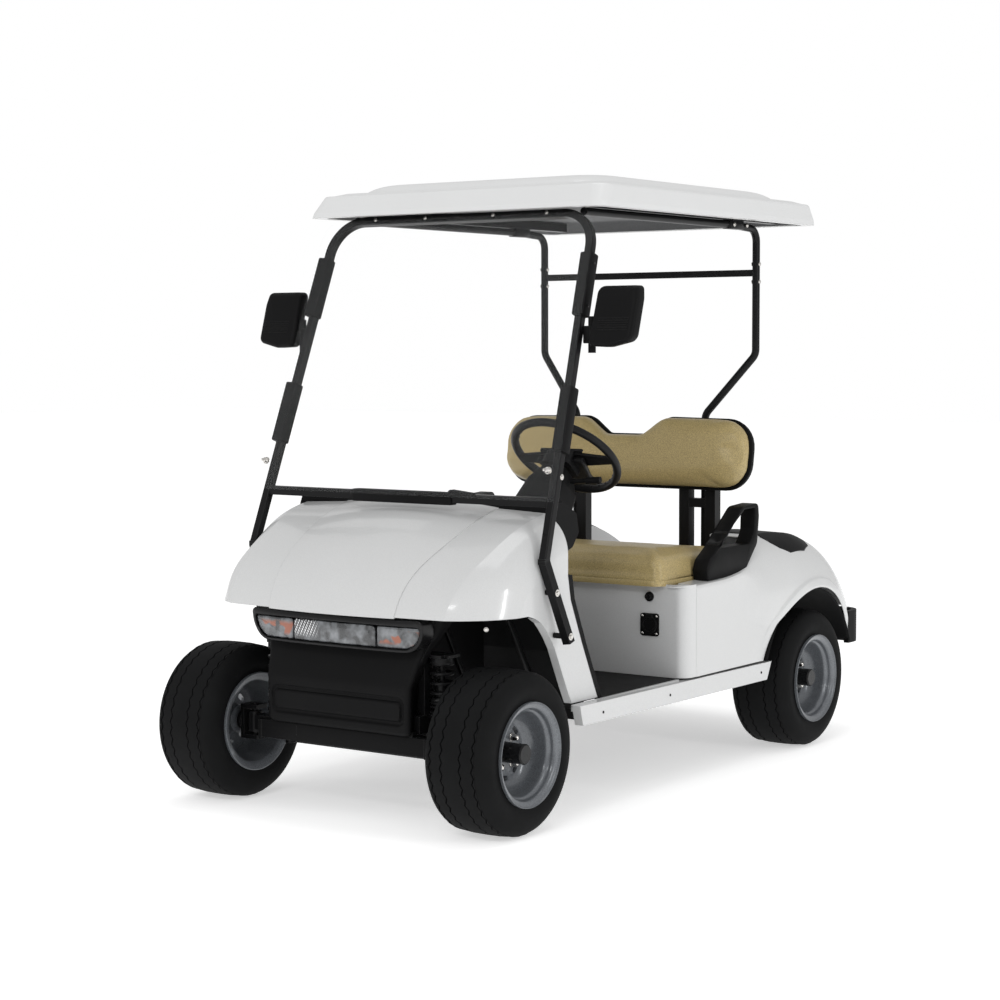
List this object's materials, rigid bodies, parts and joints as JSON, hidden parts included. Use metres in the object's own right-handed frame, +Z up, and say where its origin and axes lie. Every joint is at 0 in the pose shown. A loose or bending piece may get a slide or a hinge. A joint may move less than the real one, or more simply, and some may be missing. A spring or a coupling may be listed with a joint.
{
  "type": "electric golf cart",
  "caption": "Compact open-sided electric golf cart: bench seat, canopy on tube posts, clear windshield, moulded cowl, lamp bar, rear bag well and steel disc wheels.",
  "frame": {"origin": "ground under the middle of the cart's overall length, on its centreline", "axes": "+Z up, -Y towards the nose, +X towards the driver's (left) side"},
  "size_m": [1.3778, 2.34, 1.8499],
  "materials": {
    "tyre": "moulded",
    "rim_paint": "silver paint",
    "black_gloss": "semi-gloss",
    "chassis_paint": "satin black",
    "battery_case": "moulded",
    "black_plastic": "moulded",
    "key_metal": "turned",
    "rubber_mat": "ribbed",
    "grip_black": "soft moulded",
    "body_paint": "gloss",
    "roof_plastic": "gloss",
    "vinyl": "vinyl",
    "clear_sheet": "clear",
    "lamp_clear": "clear",
    "lamp_amber": "amber",
    "lamp_red": "red"
  },
  "bodies": {
    "chassis": {"bag_deck": "black_plastic", "battery_block": "battery_case", "canopy_frame": "chassis_paint", "charge_receptacle": "black_plastic", "cowl_trims": "black_plastic", "dash": "black_plastic", "floor_mat": "rubber_mat", "frame_brackets": "chassis_paint", "frame_cross_members": "chassis_paint", "frame_rails": "chassis_paint", "front_axle_beam": "chassis_paint", "front_cowl": "body_paint", "front_cross_beam": "chassis_paint", "front_dampers": "chassis_paint", "front_radius_arms": "chassis_paint", "front_shield": "black_plastic", "head_lamp": "lamp_clear", "heel_panel": "body_paint", "hip_restraints": "black_plastic", "inner_panels": "black_plastic", "key_switch": "key_metal", "light_bar": "black_plastic", "mirrors": "black_plastic", "pedals": "chassis_paint", "rear_axle": "chassis_paint", "rear_body": "body_paint", "rear_bumper": "black_plastic", "rear_springs": "chassis_paint", "rocker_panels": "body_paint", "roof": "roof_plastic", "roof_rails": "chassis_paint", "scuff_guards": "black_plastic", "seat_back": "vinyl", "seat_back_shell": "black_plastic", "seat_hinges": "chassis_paint", "seat_supports": "chassis_paint", "steering_column": "black_plastic", "tail_lamps": "lamp_red", "turn_lamps": "lamp_amber", "windshield": "clear_sheet", "windshield_clips": "black_plastic", "windshield_frame": "chassis_paint"},
    "wheel_front_left": {"tyre_front_left": "tyre", "rim_front_left": "rim_paint", "hub_cap_front_left": "black_gloss"},
    "wheel_front_right": {"tyre_front_right": "tyre", "rim_front_right": "rim_paint", "hub_cap_front_right": "black_gloss"},
    "wheel_rear_left": {"tyre_rear_left": "tyre", "rim_rear_left": "rim_paint", "hub_cap_rear_left": "black_gloss"},
    "wheel_rear_right": {"tyre_rear_right": "tyre", "rim_rear_right": "rim_paint", "hub_cap_rear_right": "black_gloss"},
    "knuckle_left": {"knuckle_left": "chassis_paint"},
    "knuckle_right": {"knuckle_right": "chassis_paint"},
    "tie_rod": {"tie_rod": "chassis_paint"},
    "steering_wheel": {"steering_wheel": "grip_black"},
    "seat_bottom": {"seat_cushion": "vinyl", "seat_base": "black_plastic"}
  },
  "joints": [
    {"name": "steering_turn", "type": "hinge", "parent": "chassis", "child": "steering_wheel", "pos_m": [0.295, -0.311, 1.008], "axis": [0, 0.6428, 0.766], "range_deg": [-224, 224]},
    {"name": "steer_left", "type": "hinge", "parent": "chassis", "child": "knuckle_left", "pos_m": [0.395, -0.941, 0.229], "axis": [0, 0, 1], "range_deg": [-28, 28]},
    {"name": "steer_right", "type": "hinge", "parent": "chassis", "child": "knuckle_right", "pos_m": [-0.395, -0.941, 0.229], "axis": [0, 0, 1], "range_deg": [-28, 28]},
    {"name": "tie_rod_slide", "type": "slide", "parent": "chassis", "child": "tie_rod", "axis": [1, 0, 0], "range_m": [-0.06, 0.06]},
    {"name": "roll_front_left", "type": "hinge", "parent": "knuckle_left", "child": "wheel_front_left", "pos_m": [0.49, -0.941, 0.229], "axis": [1, 0, 0], "continuous": true},
    {"name": "roll_front_right", "type": "hinge", "parent": "knuckle_right", "child": "wheel_front_right", "pos_m": [-0.49, -0.941, 0.229], "axis": [1, 0, 0], "continuous": true},
    {"name": "roll_rear_left", "type": "hinge", "parent": "chassis", "child": "wheel_rear_left", "pos_m": [0.49, 0.749, 0.229], "axis": [1, 0, 0], "continuous": true},
    {"name": "roll_rear_right", "type": "hinge", "parent": "chassis", "child": "wheel_rear_right", "pos_m": [-0.49, 0.749, 0.229], "axis": [1, 0, 0], "continuous": true},
    {"name": "seat_lift", "type": "hinge", "parent": "chassis", "child": "seat_bottom", "pos_m": [0, 0.394, 0.612], "axis": [-1, 0, 0], "range_deg": [0, 60]}
  ],
  "couplings": [
    {"joint": "steer_left", "follows": "steering_turn", "ratio": 0.125},
    {"joint": "steer_right", "follows": "steering_turn", "ratio": 0.125},
    {"joint": "tie_rod_slide", "follows": "steering_turn", "m_per_rad": -0.014}
  ]
}
